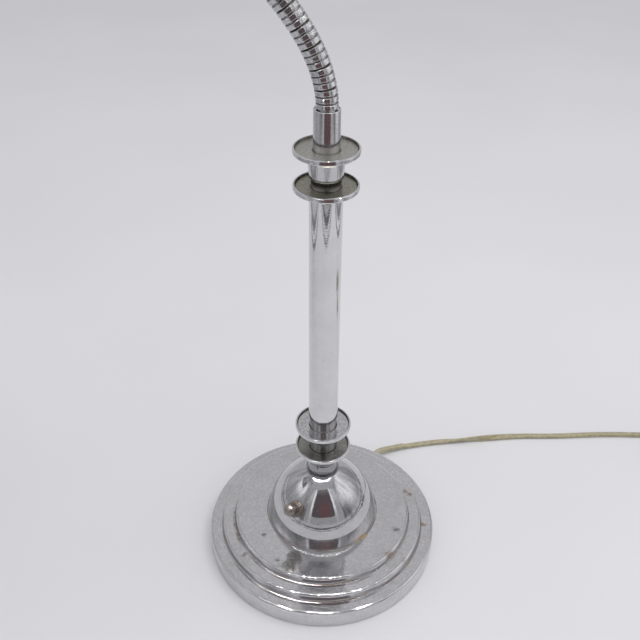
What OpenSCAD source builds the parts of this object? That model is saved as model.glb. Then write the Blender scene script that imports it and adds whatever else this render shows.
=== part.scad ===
// Gooseneck desk lamp: stepped round base, switch dome, stacked saucers, plain column,
// ribbed gooseneck that stays where it is bent, and a bell shade with a round lamp.
// Millimetres. +Z is up, the origin is the centre of the underside of the base.

/* [Base] */
// Outer radius of the base
base_r = 85; // [80:0.5:105]
// Height of the first (lowest) step
step_1_z = 14.4; // [13:0.1:18]
// Height of the second step
step_2_z = 20.7; // [19:0.1:24]
// Height of the flat top of the base
plateau_z = 26.3; // [25:0.1:32]
// Width of the flat on the first step
step_1_flat = 9.8; // [7:0.1:12]
// Width of the flat on the second step
step_2_flat = 9.8; // [7:0.1:12]
// Rounding of each step's top edge
step_round = 1.9; // [1:0.1:3]
// Fillet at the foot of each riser
step_fillet = 1.6; // [0.5:0.1:2.5]
// Thickness of the sheet metal of base, dome and shade holder
sheet = 1.2; // [0.8:0.1:1.6]
// Thickness of the felt under the base
felt_t = 1.5; // [1:0.1:3]
// Height of the cast-iron disc over the felt
weight_h = 11; // [8:0.5:11.4]

/* [Dome and switch] */
// Radius of the dome's foot
dome_r = 40.6; // [36:0.1:50]
// Radius of the seat at the dome's top
dome_top_r = 11.7; // [10.5:0.1:14]
// Height of the dome
dome_h = 43.3; // [38:0.1:50]
// How far the centre of the dome's arc lies under its foot
dome_arc_drop = 4.3; // [0:0.1:8]
// Compass angle of the switch, from +X
switch_az = 233.5; // [180:0.5:360]
// Angle of the switch's axis over the horizontal
switch_el = 35; // [25:0.5:45]
// Radius of the push button's cap
button_r = 3.9; // [3:0.1:4.5]
// How far the push button's tip stands over the dome
button_out = 12.4; // [10:0.1:16]

/* [Column] */
// Radius of the seat washer on the dome
seat_r = 11.7; // [10.5:0.1:13]
// Height of the seat washer on the dome
seat_h = 3.2; // [2:0.1:5]
// Height of the flared collar under the first saucer
flare_h = 14; // [10:0.1:20]
// Radius of a saucer's rim
saucer_r = 19.3; // [17:0.1:24]
// Overall height of a saucer
saucer_h = 7.4; // [6.5:0.1:10]
// Height of a saucer's upright rim
rim_h = 2.9; // [2:0.1:4]
// Depth of the recess in a saucer
recess_d = 1.4; // [1:0.1:2.4]
// Radius of a saucer's hub
hub_r = 10.7; // [10.1:0.1:13]
// Radius of the hollow sweep of the flared collar
flare_arc_r = 14; // [10:0.5:24]
// Radius of the spacer and of the collar in the recesses
spacer_r = 9.4; // [8.5:0.1:10]
// Height of the spacer between the two lower saucers, over the recess floor
spacer_1_h = 14; // [10:0.1:20]
// Height of the collar that carries the tube, over the recess floor
collar_h = 8.8; // [6:0.1:14]
// Outer radius of the column tube
tube_r = 10; // [9.9:0.05:10.4]
// Wall of the column tube
tube_wall = 1; // [0.8:0.05:1.2]
// Length of the column tube
tube_len = 168.8; // [120:0.1:260]
// Height of the narrow foot of the spacer between the two upper saucers
spacer_2_foot = 5.4; // [3:0.1:7]
// Overall height of the spacer between the two upper saucers
spacer_2_h = 16.3; // [13:0.1:22]
// Radius of the threaded stem through the whole column
stem_r = 5.15; // [4.9:0.05:5.3]
// Bore of the threaded stem
stem_bore_r = 3.2; // [2.9:0.05:3.6]

/* [Gooseneck] */
// Radius of the gooseneck over its ribs
neck_r = 6.35; // [6.2:0.05:6.5]
// Distance from rib to rib
rib_pitch = 3.9; // [3.7:0.05:4.3]
// Ribs in each section of the neck
ribs_per_section = 3; // [3:1:4]
// Width of the groove between two ribs
groove_w = 1; // [0.9:0.05:1.3]
// Depth of the groove between two ribs
groove_d = 0.85; // [0.6:0.05:0.95]
// Turn of the first section at rest, in degrees
first_turn = 10.9; // [6:0.1:12]
// How much less each next section turns
turn_ease = 1.75; // [1:0.05:2.5]
// Turn of each section of the rise at rest
rise_turn = 4.2; // [3:0.1:5]
// Turn of each section of the arch at rest
arch_turn = 6.4; // [5:0.1:7]
// Height of the ferrule over the recess floor
ferrule_h = 23.8; // [20:0.1:34]
// Radius of the ferrule's foot
ferrule_r = 7.8; // [7.7:0.05:8.6]

/* [Head] */
// Radius of the shade's mouth
shade_r = 70; // [64:0.5:80]
// Distance from the shade's top to its mouth
shade_h = 92; // [84:0.5:100]
// Thickness of the shade's sheet metal
shade_t = 0.7; // [0.6:0.05:1]
// Radius of the bead round the mouth
bead_r = 1.6; // [1.2:0.1:2.5]
// Radius of the round glass lamp
globe_r = 22.5; // [20:0.5:25]
// Thickness of the lamp's glass
glass_t = 0.7; // [0.5:0.05:1.2]

/* [Cord] */
// Width of the flat two-core cord
cord_w = 5.2; // [4.6:0.1:5.6]
// Compass angle at which the cord leaves the base, from +X
cord_az = 60; // [50:0.5:80]
// Height of the cord's hole
cord_z = 5.4; // [5.2:0.1:7]

/* [Hidden] */
SECTIONS = 24;
$fn = 96;

function section_name(i) = str("neck_section_", i < 10 ? "0" : "", i);

// Clearances: pieces that slide over each other, and turned seats that touch
slip = 0.15;
eps = 0.05;

// Base, from the outside in
step_2_r = base_r - step_1_flat;
plateau_r = step_2_r - step_2_flat;
shell_gap = 0.6;                       // shell's edge over the table
weight_r = base_r - sheet - shell_gap;
felt_r = weight_r - 0.6;
cord_ease = 0.1;                        // room round the cord's bushing in its hole
boss_r = 24;
well_r = 14;                           // well for the lower nut in the weight
washer_t = 1.5;
washer_gap = 1.5;                       // washer's edge inside the well
nut_h = 5;
nut_r = 9.8;
well_z = felt_t + 14;                  // roof of the well
nut_z = well_z - washer_t - nut_h;
stem_z = nut_z - 0.5;
stem_hole_r = stem_r + slip;
thread_fit = 0.02;                      // threaded pieces, drawn as plain cylinders
wire_slot_w = 4.4;                      // slot in the stem for the wires to the switch
wire_slot_h = 13;
wire_slot_drop = 22;

// Dome: one arc from foot to seat
dome_z = plateau_z;
dome_top_z = dome_z + dome_h;
arc_top = dome_h + dome_arc_drop;
arc_off = (arc_top * arc_top - dome_arc_drop * dome_arc_drop - dome_r * dome_r
    + dome_top_r * dome_top_r) / (2 * (dome_r - dome_top_r));
arc_r = norm([dome_r + arc_off, dome_arc_drop]);
arc_z = dome_z - dome_arc_drop;

// Switch: it stands square on the dome
switch_at_r = arc_r * cos(switch_el) - arc_off;
switch_at_z = arc_z + arc_r * sin(switch_el);
bushing_r = 4.7;
switch_barrel_r = 7.5;
switch_depth = 20;
barrel_drop = sheet + 1;                // barrel's front under the dome's outside
ring_back_r = 6.1;
ring_back_t = 1.9;
ring_step = 0.5;
ring_front_r = 5.4;
ring_front_t = 1.9;
nut_knurl_r = 0.45;                     // grooves round the front ring
stalk_r = 2.6;
button_travel = 2.5;
button_crown_r = 6.4;
switch_wire_r = 0.8;
switch_wire_gap = 2.6;
switch_wire_len = 14.5;
bushing_out = ring_back_t + ring_front_t + 0.8;
button_h = 5;

// Column, from the dome upwards
seat_z = dome_top_z;
seat_step = 1.4;                        // seat washer's upper part is this much smaller
seat_step_z = 0.55 * seat_h;
flare_z = seat_z + seat_h;
flare_waist = 1.6;                      // depth of the sweep at the waist
flare_waist_z = 0.42 * flare_h;
saucer_1_z = flare_z + flare_h;
floor_1_z = saucer_1_z + saucer_h - recess_d;
saucer_2_z = floor_1_z + spacer_1_h;
floor_2_z = saucer_2_z + saucer_h - recess_d;
tube_z = floor_2_z + collar_h;
saucer_3_z = tube_z + tube_len;
floor_3_z = saucer_3_z + saucer_h - recess_d;
saucer_4_z = floor_3_z + spacer_2_h;
floor_4_z = saucer_4_z + saucer_h - recess_d;
neck_z = floor_4_z + ferrule_h;
rim_t = 1.2;                            // thickness of a saucer's rim, rounded over
hub_edge = 0.4;                         // flare of the hub's foot
hub_edge_h = 0.8;
spacer_2_edge = 1.2;                    // rounding of the spacer's lower edge
spacer_2_neck = 0.6;                    // its foot is this much narrower than a spacer
spigot_h = 3;
spigot_r = tube_r - tube_wall - slip;
ferrule_wall = 0.8;
ferrule_taper = 0.17;
ferrule_top_r = ferrule_r - ferrule_taper;
lip_r = ferrule_wall / 2;               // curled lip of the ferrule
root_r = ferrule_top_r - ferrule_wall - slip;
stem_over = 14;                         // stem stands this far over the top saucer's floor
root_grip = 8;                          // length of the root fitting on the stem
stem_top_z = floor_4_z + stem_over;

// Gooseneck: each section is an arc, its ball sits in the next section's socket
section_len = ribs_per_section * rib_pitch;
core_r = neck_r - groove_d;
ball_r = core_r - 0.8;
ball_gap = 0.15;
ball_root = 2;                          // ball's flat root under its centre
wire_r = 2.6;
wire_ease = 0.3;                        // wider mouth of the wire's way through a ball
core_inset = groove_w / 2 + 0.7;        // core ends inside the outer ribs
rib_w = rib_pitch - groove_w;
rib_in_r = wire_r + 1.2;                // a rib's inner edge, buried in the core
rib_edge_r = 0.4;
EASED = 4;                              // sections that ease out of the ferrule
RISING = 9;                             // sections up to the start of the arch
function section_turn(i) = i < EASED ? first_turn - turn_ease * i
    : i < RISING ? rise_turn : arch_turn;
function lean(i) = i == 0 ? 0 : lean(i - 1) + section_turn(i - 1);
function bend_r(i) = section_len / (section_turn(i) * PI / 180);
function joint_at(i) = i == 0 ? [0, 0, neck_z]
    : joint_at(i - 1) + bend_r(i - 1)
        * [cos(lean(i)) - cos(lean(i - 1)), 0, sin(lean(i)) - sin(lean(i - 1))];

// Head, measured along its own axis from the last joint of the neck
tip_r = 7.6;
tip_round = 0.6;
tip_len = 12;
tip_stud_r = 4.9;
tip_stud_len = 6;
cap_z = tip_len;
cap_r = 17;
cap_wall = 0.8;
cap_len = 24;
shade_z = cap_z + cap_len;
holder_r = 14.9;
holder_foot = 10;                       // holder's foot over the cap's floor
holder_out = 32;                        // how far the holder stands into the shade
holder_z = cap_z + holder_foot;
holder_end = shade_z + holder_out;
shoulder_h = 5;
thread_r = 13.6;
thread_floor_z = 4;
thread_floor = shade_z + thread_floor_z;
ring_r = 19;
ring_h = 5;
ring_groove_r = 0.9;
holder_fit = 0.1;
shell_fit = 0.05;
shell_wall = 0.5;
shell_floor = 0.6;
shell_hole_r = 6;
contact_r = 3.5;
contact_h = 1.2;
crown_1_r = 24;
crown_1_h = 8;
crown_2_r = 34;
crown_2_h = 8;
mouth_z = shade_z + shade_h;
bell_z = shade_z + crown_1_h + crown_2_h;
bell_drop = mouth_z - bell_z;
bell_in = shade_r - crown_2_r;
bell_arc = (bell_in * bell_in + bell_drop * bell_drop) / (2 * bell_in);
lamp_cap_r = 13;
lamp_seat = 3;
lamp_cap_z = thread_floor + lamp_seat;
lamp_cap_len = 24;
lamp_cap_t = 0.7;
lamp_thread_r = 1;                      // round thread, drawn as separate ribs
lamp_thread_pitch = 3.6;
lamp_thread_z = 6;
lamp_cone_h = 4;
lamp_foot_r = 5;
lamp_contact_r = 4.4;
lamp_gap = 0.1;                         // lamp's contact over the holder's
globe_gap = 7;                          // lamp's neck between its cap and its globe
lamp_neck_in = 8;                       // where the glass neck starts inside the cap
globe_z = lamp_cap_z + lamp_cap_len + globe_gap + globe_r;
lamp_neck_r = 11.6;

// Cord
cord_r = cord_w / 2;
lead_r = cord_r - 0.2;
elbow_r = 5;
nose_out = 4;                           // bushing's nose outside the base
grommet_r = cord_r + 1;
channel_w = 2 * (grommet_r + 0.4);      // cord's channel in the weight
flange_r = 4.6;
flange_t = 1;
nose_taper = 0.4;
nose_wall = 0.5;
cord_grip = 0.15;                       // the bushing is this much tighter than the cord
cord_exit_r = base_r + nose_out;
rest_z = cord_r + 0.1;                  // height of a lying cord's centre line
cord_run = [
    [46.5, 80.2, 5.3], [49.5, 83, 4.9], [53.5, 85.2, 4.2], [59, 87.5, 3.4],
    [65, 89.8, 2.9], [72, 92, rest_z], [83, 94.6, rest_z], [95, 97, rest_z],
    [108, 98.8, rest_z], [122, 100, rest_z], [134, 101.2, rest_z], [145, 102.8, rest_z],
    [157, 104.8, rest_z], [168, 106.2, rest_z], [180, 107, rest_z], [192, 107.2, rest_z],
    [205, 107.6, rest_z], [218, 108.4, rest_z], [231, 109.4, rest_z],
    [244, 110.2, rest_z], [257, 110.6, rest_z], [270, 110.6, rest_z],
    [283, 110.6, rest_z], [296, 111.6, rest_z], [306, 113.2, rest_z]];
coil_at = [326, 82];
coil_mid_r = 28;
coil_w = 16;
coil_h = 14.4;
coil_round = 2;
plug_z = 7;
tail_x = coil_at[0] + coil_mid_r + 4;
plug_y = 40;
cord_tail = [[tail_x, 74, plug_z + 4], [tail_x + 0.3, 65, plug_z + 1.8],
    [tail_x, 55, plug_z + 0.2], [tail_x, 47, plug_z], [tail_x, plug_y, plug_z]];
plug_len = 26;
plug_shoulder = 5;
plug_nose = 10;
plug_nose_w = 11;
core_gap_r = 0.8;                       // hole in the plug behind the cord's end
plug_w = 25;
plug_t = 13;
blade_len = 17;
blade_w = 6.4;
blade_t = 1.5;
blade_gap = 12.7;

module ring(outer, inner, h) {
    difference() {
        cylinder(r = outer, h = h);
        translate([0, 0, -1]) cylinder(r = inner, h = h + 2);
    }
}

// ---- Base -------------------------------------------------------------------------

// Outline of one round step: a flat top, an upright wall and a rounded edge
module step_outline(r, z, round) {
    square([r - round, z]);
    square([r, z - round]);
    translate([r - round, z - round]) circle(round);
}

module foot_fillet(r, z, f) {
    translate([r, z]) difference() {
        square([f, f]);
        translate([f, f]) circle(f);
    }
}

module base_outline(inset) {
    step_outline(base_r - inset, step_1_z - inset, step_round);
    step_outline(step_2_r - inset, step_2_z - inset, step_round);
    step_outline(plateau_r - inset, plateau_z - inset, step_round);
}

module base_shell() {
    color("gainsboro") difference() {
        rotate_extrude() difference() {
            union() {
                base_outline(0);
                foot_fillet(step_2_r - eps, step_1_z - eps, step_fillet);
                foot_fillet(plateau_r - eps, step_2_z - eps, step_fillet);
            }
            base_outline(sheet);
            translate([-1, -1]) square([stem_hole_r + 1, plateau_z + 2]);
            translate([-1, -1]) square([base_r + 2, shell_gap + 1]);
        }
        rotate([0, 0, cord_az]) translate([weight_r - 2, 0, cord_z])
            rotate([0, 90, 0]) cylinder(r = grommet_r + cord_ease, h = base_r - weight_r + 6);
    }
}

module base_weight() {
    color("dimgray") difference() {
        union() {
            translate([0, 0, felt_t]) cylinder(r = weight_r, h = weight_h);
            translate([0, 0, felt_t]) cylinder(r = boss_r, h = plateau_z - sheet - felt_t);
        }
        translate([0, 0, felt_t - 1]) cylinder(r = well_r, h = well_z - felt_t + 1);
        translate([0, 0, felt_t]) cylinder(r = stem_hole_r, h = plateau_z);
        rotate([0, 0, cord_az]) translate([0, -channel_w / 2, felt_t - 1])
            cube([base_r, channel_w, cord_z + channel_w / 2 + 1 - felt_t]);
    }
}

module base_felt() {
    color("darkolivegreen") cylinder(r = felt_r, h = felt_t);
}

// ---- Dome and switch --------------------------------------------------------------

// Solid under the dome's arc, with the arc drawn in by inset
module dome_outline(inset) {
    intersection() {
        translate([-arc_off, arc_z]) circle(arc_r - inset, $fn = 180);
        translate([0, dome_z]) square([dome_r, dome_h - inset]);
    }
}

module dome() {
    color("silver") difference() {
        rotate_extrude() difference() {
            dome_outline(0);
            translate([0, -eps]) dome_outline(sheet);
            translate([-1, dome_z]) square([stem_hole_r + 1, dome_h + 1]);
        }
        on_switch_axis() translate([0, 0, -6]) cylinder(r = bushing_r + slip, h = 12);
    }
}

module on_switch_axis() {
    rotate([0, 0, switch_az]) translate([switch_at_r, 0, switch_at_z])
        rotate([0, 90 - switch_el, 0]) children();
}

module switch_body() {
    color("tan") on_switch_axis() difference() {
        union() {
            translate([0, 0, -barrel_drop - switch_depth])
                cylinder(r = switch_barrel_r, h = switch_depth);
            translate([0, 0, -barrel_drop - 1]) cylinder(r = bushing_r, h = barrel_drop + 1 + bushing_out);
        }
        translate([0, 0, -sheet - 2 * button_travel - 1])
            cylinder(r = stalk_r + slip, h = sheet + 2 * button_travel + bushing_out + 2);
    }
}

module switch_rings() {
    color("rosybrown") on_switch_axis() {
        translate([0, 0, eps]) difference() {
            cylinder(r = ring_back_r, h = ring_back_t);
            translate([0, 0, -1]) cylinder(r = bushing_r + thread_fit, h = ring_back_t + 2);
            translate([0, 0, ring_back_t - ring_step]) ring(ring_back_r + 1, ring_back_r - ring_step, 1);
        }
        translate([0, 0, eps + ring_back_t]) difference() {
            cylinder(r = ring_front_r, h = ring_front_t);
            translate([0, 0, -1]) cylinder(r = bushing_r + thread_fit, h = ring_front_t + 2);
            for (a = [0 : 20 : 340]) rotate([0, 0, a])
                translate([ring_front_r + nut_knurl_r / 2, 0, -1])
                    cylinder(r = nut_knurl_r, h = ring_front_t + 2, $fn = 16);
        }
    }
}

module switch_button() {
    color("rosybrown") on_switch_axis() rotate_extrude() {
        translate([0, -sheet - button_travel]) square([stalk_r, button_out - button_h + sheet + button_travel + 1]);
        intersection() {
            translate([0, button_out - button_h]) square([button_r, button_h]);
            translate([0, button_out - button_crown_r]) circle(button_crown_r);
        }
    }
}

// ---- Column -----------------------------------------------------------------------

module bored(h) {
    difference() {
        children();
        translate([0, 0, -spigot_h - 1]) cylinder(r = stem_hole_r, h = h + spigot_h + 2);
    }
}

module saucer(z, spigot = 0) {
    round = rim_t / 2;
    foot = saucer_h - rim_h;
    color("silver") translate([0, 0, z]) bored(saucer_h) {
        rotate_extrude() difference() {
            union() {
                polygon([[0, 0], [hub_r, 0], [hub_r + hub_edge, hub_edge_h], [saucer_r - round, foot], [0, foot]]);
                translate([0, foot]) square([saucer_r - round, rim_h]);
                translate([0, foot + round]) square([saucer_r, rim_h - rim_t]);
                for (y = [foot + round, saucer_h - round]) translate([saucer_r - round, y]) circle(round, $fn = 32);
            }
            translate([-1, saucer_h - recess_d]) square([saucer_r - rim_t + 1, recess_d + 1]);
        }
        if (spigot > 0) translate([0, 0, -spigot]) cylinder(r = spigot_r, h = spigot + 1);
    }
}

module dome_seat() {
    color("black") translate([0, 0, seat_z]) bored(seat_h) rotate_extrude() {
        square([seat_r, seat_step_z]);
        square([seat_r - seat_step, seat_h]);
    }
}

module flared_collar() {
    color("silver") translate([0, 0, flare_z]) bored(flare_h) rotate_extrude()
        difference() {
            square([hub_r, flare_h]);
            translate([hub_r - flare_waist + flare_arc_r, flare_waist_z]) circle(flare_arc_r, $fn = 180);
        }
}

module spacer_1() {
    color("slategray") translate([0, 0, floor_1_z]) bored(spacer_1_h)
        cylinder(r = spacer_r, h = spacer_1_h);
}

module tube_collar() {
    color("slategray") translate([0, 0, floor_2_z]) bored(collar_h + spigot_h) {
        cylinder(r = spacer_r, h = collar_h);
        cylinder(r = spigot_r, h = collar_h + spigot_h);
    }
}

module column_tube() {
    color("gainsboro") translate([0, 0, tube_z]) ring(tube_r, tube_r - tube_wall, tube_len);
}

module spacer_2() {
    body_h = spacer_2_h - spacer_2_foot;
    color("slategray") translate([0, 0, floor_3_z]) bored(spacer_2_h) {
        cylinder(r = spacer_r - spacer_2_neck, h = spacer_2_foot + 1);
        translate([0, 0, spacer_2_foot]) rotate_extrude() {
            polygon([[0, 0], [tube_r - spacer_2_edge, 0], [tube_r, spacer_2_edge], [hub_r, body_h], [0, body_h]]);
            translate([tube_r - spacer_2_edge, spacer_2_edge]) circle(spacer_2_edge, $fn = 32);
        }
    }
}

module ferrule() {
    color("silver") translate([0, 0, floor_4_z]) rotate_extrude() {
        polygon([[ferrule_r - ferrule_wall, 0], [ferrule_r, 0],
            [ferrule_top_r, ferrule_h - lip_r], [ferrule_top_r - ferrule_wall, ferrule_h - lip_r]]);
        translate([ferrule_top_r - lip_r, ferrule_h - lip_r]) circle(lip_r, $fn = 32);
    }
}

module stem_pipe() {
    slot_z = switch_at_z - wire_slot_drop;
    color("goldenrod") difference() {
        translate([0, 0, stem_z]) ring(stem_r, stem_bore_r, stem_top_z - stem_z);
        rotate([0, 0, switch_az]) translate([0, -wire_slot_w / 2, slot_z])
            cube([stem_r + 1, wire_slot_w, wire_slot_h]);
    }
}

module hex_nut(h) {
    difference() {
        cylinder(r = nut_r, h = h, $fn = 6);
        translate([0, 0, -1]) cylinder(r = stem_r + thread_fit, h = h + 2);
    }
}

module stem_nuts() {
    color("goldenrod") {
        translate([0, 0, nut_z]) hex_nut(nut_h);
        translate([0, 0, floor_4_z]) ring(root_r, stem_r + thread_fit, nut_h);
    }
}

module stem_washer() {
    color("gray") translate([0, 0, well_z - washer_t]) ring(well_r - washer_gap, stem_hole_r, washer_t);
}

module lead_wire() {
    color("darkkhaki") {
        rotate([0, 0, cord_az]) {
            translate([elbow_r, 0, cord_z]) rotate([0, 90, 0])
                cylinder(r = lead_r, h = cord_exit_r - elbow_r, $fn = 32);
            translate([elbow_r, 0, cord_z + elbow_r]) rotate([90, 0, 0]) rotate([0, 0, 180])
                rotate_extrude(angle = 90) translate([elbow_r, 0]) circle(lead_r, $fn = 32);
        }
        translate([0, 0, cord_z + elbow_r])
            cylinder(r = lead_r, h = stem_top_z - cord_z - elbow_r - 1, $fn = 32);
        on_switch_axis() for (side = [-0.5, 0.5])
            translate([0, switch_wire_gap * side, -barrel_drop - switch_depth - switch_wire_len])
                cylinder(r = switch_wire_r, h = switch_wire_len, $fn = 24);
    }
}

// ---- Gooseneck --------------------------------------------------------------------

// Places its children on the neck's axis at the start of section i
module at_joint(i) {
    translate(joint_at(i)) rotate([0, -lean(i), 0]) children();
}

// Places its children a given turn further along section i
module along(i, turn) {
    translate([-bend_r(i), 0, 0]) rotate([0, -turn, 0]) translate([bend_r(i), 0, 0]) children();
}

module bent_rod(i, r, from, to) {
    translate([-bend_r(i), 0, 0]) rotate([90, 0, 0]) rotate([0, 0, from])
        rotate_extrude(angle = to - from) translate([bend_r(i), 0]) circle(r, $fn = 48);
}

module rib() {
    side = rib_w / 2 - rib_edge_r;
    rotate_extrude($fn = 64) {
        translate([rib_in_r, -rib_w / 2]) square([neck_r - rib_edge_r - rib_in_r, rib_w]);
        translate([rib_in_r, -side]) square([neck_r - rib_in_r, 2 * side]);
        for (s = [-1, 1]) translate([neck_r - rib_edge_r, s * side]) circle(rib_edge_r, $fn = 32);
    }
}

module ball(r) {
    rotate_extrude($fn = 64) intersection() {
        circle(r, $fn = 64);
        translate([0, -ball_root]) square([r, r + ball_root]);
    }
}

module neck_section(i) {
    turn = section_turn(i);
    end = turn * core_inset / section_len;
    color("silver") at_joint(i) difference() {
        union() {
            bent_rod(i, core_r, end, turn - end);
            for (k = [0 : ribs_per_section - 1])
                along(i, turn * (k + 0.5) / ribs_per_section) rib();
            along(i, turn) ball(ball_r);
        }
        sphere(ball_r + ball_gap);
        bent_rod(i, wire_r, 0, turn);
        along(i, turn) translate([0, 0, -wire_ease]) cylinder(r = wire_r + wire_ease, h = 2 * ball_r, $fn = 48);
    }
}

module neck_root() {
    color("goldenrod") translate([0, 0, neck_z]) difference() {
        union() {
            translate([0, 0, stem_top_z - root_grip - neck_z])
                cylinder(r = root_r, h = neck_z - stem_top_z + root_grip - groove_w / 2);
            ball(ball_r);
        }
        translate([0, 0, stem_top_z - root_grip - 1 - neck_z]) cylinder(r = stem_r + thread_fit, h = root_grip + 1);
        translate([0, 0, -neck_z]) cylinder(r = wire_r, h = neck_z + 20);
    }
}

// ---- Head -------------------------------------------------------------------------

module on_head() {
    at_joint(SECTIONS) children();
}

module neck_tip() {
    color("silver") on_head() difference() {
        union() {
            translate([0, 0, groove_w / 2]) rotate_extrude() {
                translate([0, tip_round]) square([tip_r, tip_len - groove_w / 2 - tip_round]);
                square([tip_r - tip_round, tip_len - groove_w / 2]);
                translate([tip_r - tip_round, tip_round]) circle(tip_round, $fn = 32);
            }
            translate([0, 0, tip_len - 1]) cylinder(r = tip_stud_r, h = tip_stud_len + 1);
        }
        sphere(ball_r + ball_gap);
        translate([0, 0, -1]) cylinder(r = wire_r, h = tip_len + tip_stud_len + 3);
    }
}

// Lampholder cap: a rounded shoulder and an upright skirt
module cap_outline(inset) {
    shoulder = cap_r - tip_r;
    translate([0, cap_z + shoulder]) square([cap_r - inset, cap_len - shoulder]);
    translate([0, cap_z + inset]) square([tip_r, shoulder]);
    intersection() {
        translate([tip_r, cap_z + shoulder]) circle(shoulder - inset);
        translate([0, cap_z + inset]) square([cap_r, shoulder]);
    }
}

module socket_cap() {
    color("silver") on_head() rotate_extrude() difference() {
        cap_outline(0);
        cap_outline(cap_wall);
        translate([-1, cap_z - 1]) square([tip_stud_r + slip + 1, 4]);
        translate([-1, shade_z - eps]) square([cap_r - cap_wall + 1, 1]);
    }
}

module shade() {
    color("silver") on_head() rotate_extrude() {
        translate([holder_r + slip, shade_z]) square([crown_1_r - holder_r - slip, shade_t]);
        translate([crown_1_r - shade_t, shade_z]) square([shade_t, crown_1_h]);
        translate([crown_1_r - shade_t, shade_z + crown_1_h - shade_t])
            square([crown_2_r - crown_1_r + shade_t, shade_t]);
        translate([crown_2_r - shade_t, shade_z + crown_1_h - shade_t])
            square([shade_t, crown_2_h + shade_t + 0.5]);
        intersection() {
            translate([shade_r - bell_arc, mouth_z]) difference() {
                circle(bell_arc, $fn = 180);
                circle(bell_arc - shade_t, $fn = 180);
            }
            translate([crown_2_r - 4, bell_z]) square([shade_r, bell_drop]);
        }
        translate([shade_r - shade_t / 2, mouth_z]) circle(bead_r, $fn = 48);
    }
}

module shade_ring() {
    color("dimgray") on_head() translate([0, 0, shade_z + shade_t + eps]) rotate_extrude()
        difference() {
            square([ring_r, ring_h]);
            translate([-1, -1]) square([holder_r + holder_fit + 1, ring_h + 2]);
            for (k = [1 : 2]) translate([ring_r + ring_groove_r / 2, k * ring_h / 3]) circle(ring_groove_r, $fn = 32);
        }
}

module socket_body() {
    color("saddlebrown") on_head() difference() {
        union() {
            translate([0, 0, holder_z]) cylinder(r = holder_r, h = holder_end - holder_z);
            translate([0, 0, shade_z - shoulder_h]) cylinder(r = cap_r - cap_wall - slip, h = shoulder_h);
        }
        translate([0, 0, thread_floor]) cylinder(r = thread_r + shell_fit, h = holder_end - thread_floor + 1);
        translate([0, 0, holder_z - 1]) cylinder(r = wire_r, h = thread_floor - holder_z - 1);
    }
}

module screw_shell() {
    color("goldenrod") on_head() {
        translate([0, 0, thread_floor]) difference() {
            cylinder(r = thread_r, h = holder_end - thread_floor - 1);
            translate([0, 0, shell_floor]) cylinder(r = thread_r - shell_wall, h = holder_end - thread_floor);
            translate([0, 0, -1]) cylinder(r = shell_hole_r, h = shell_floor + 2);
        }
        translate([0, 0, thread_floor]) cylinder(r = contact_r, h = contact_h);
    }
}

module bulb_cap() {
    color("goldenrod") on_head() {
        translate([0, 0, thread_floor + contact_h + lamp_gap])
            cylinder(r = lamp_contact_r, h = lamp_cap_z - thread_floor - contact_h - lamp_gap + 0.5);
        translate([0, 0, lamp_cap_z]) rotate_extrude() difference() {
            union() {
                polygon([[0, 0], [lamp_foot_r, 0], [lamp_cap_r - lamp_cap_t, lamp_cone_h],
                    [lamp_cap_r - lamp_cap_t, lamp_cap_len], [0, lamp_cap_len]]);
                for (k = [0 : 4]) translate([lamp_cap_r - lamp_thread_r, lamp_thread_z + lamp_thread_pitch * k])
                    circle(lamp_thread_r, $fn = 32);
            }
            translate([-1, lamp_cone_h + 1]) square([lamp_neck_r + slip + 1, lamp_cap_len]);
        }
    }
}

module globe_outline(inset) {
    translate([0, globe_z]) intersection() {
        circle(globe_r - inset);
        translate([0, -globe_r]) square([globe_r, 2 * globe_r]);
    }
    translate([0, lamp_cap_z + lamp_neck_in])
        square([lamp_neck_r - inset, globe_z - lamp_cap_z - lamp_neck_in]);
}

module bulb_glass() {
    color("floralwhite") on_head() rotate_extrude() difference() {
        globe_outline(0);
        translate([0, -eps]) globe_outline(glass_t);
    }
}

// ---- Cord -------------------------------------------------------------------------

module on_cord_hole() {
    rotate([0, 0, cord_az]) translate([base_r, 0, cord_z]) rotate([0, 90, 0]) children();
}

module cord_bushing() {
    inside = sheet + 2;
    color("black") on_cord_hole() difference() {
        union() {
            translate([0, 0, -inside]) cylinder(r = grommet_r, h = inside + 1);
            translate([0, 0, cord_ease]) cylinder(r = flange_r, h = flange_t);
            translate([0, 0, cord_ease])
                cylinder(r1 = flange_r - nose_taper, r2 = cord_r + nose_wall, h = nose_out - cord_ease);
        }
        translate([0, 0, -inside - 1]) cylinder(r = cord_r - cord_grip, h = inside + nose_out + 2);
    }
}

// Tube along a list of points: rings of SIDES corners, each square to the route
SIDES = 8;
function unit(v) = v / norm(v);
function heading(p, i) = unit(p[min(i + 1, len(p) - 1)] - p[max(i - 1, 0)]);
function side_of(t) = unit(cross(t, [0, 0, 1]));
function ring_points(p, i, r) =
    let (t = heading(p, i), s = side_of(t), u = cross(s, t), w = r / cos(180 / SIDES))
    [for (k = [0 : SIDES - 1]) let (a = (k + 0.5) * 360 / SIDES)
        p[i] + w * (cos(a) * s + sin(a) * u)];

module tube_along(p, r) {
    n = len(p);
    corners = [for (i = [0 : n - 1]) each ring_points(p, i, r)];
    walls = [for (i = [0 : n - 2], k = [0 : SIDES - 1]) let (m = (k + 1) % SIDES)
        [i * SIDES + k, i * SIDES + m, (i + 1) * SIDES + m, (i + 1) * SIDES + k]];
    ends = [[for (k = [SIDES - 1 : -1 : 0]) k], [for (k = [0 : SIDES - 1]) (n - 1) * SIDES + k]];
    polyhedron(points = corners, faces = concat(walls, ends));
}

function cord_start(out) = [(cord_exit_r + out) * cos(cord_az), (cord_exit_r + out) * sin(cord_az), cord_z];

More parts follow.
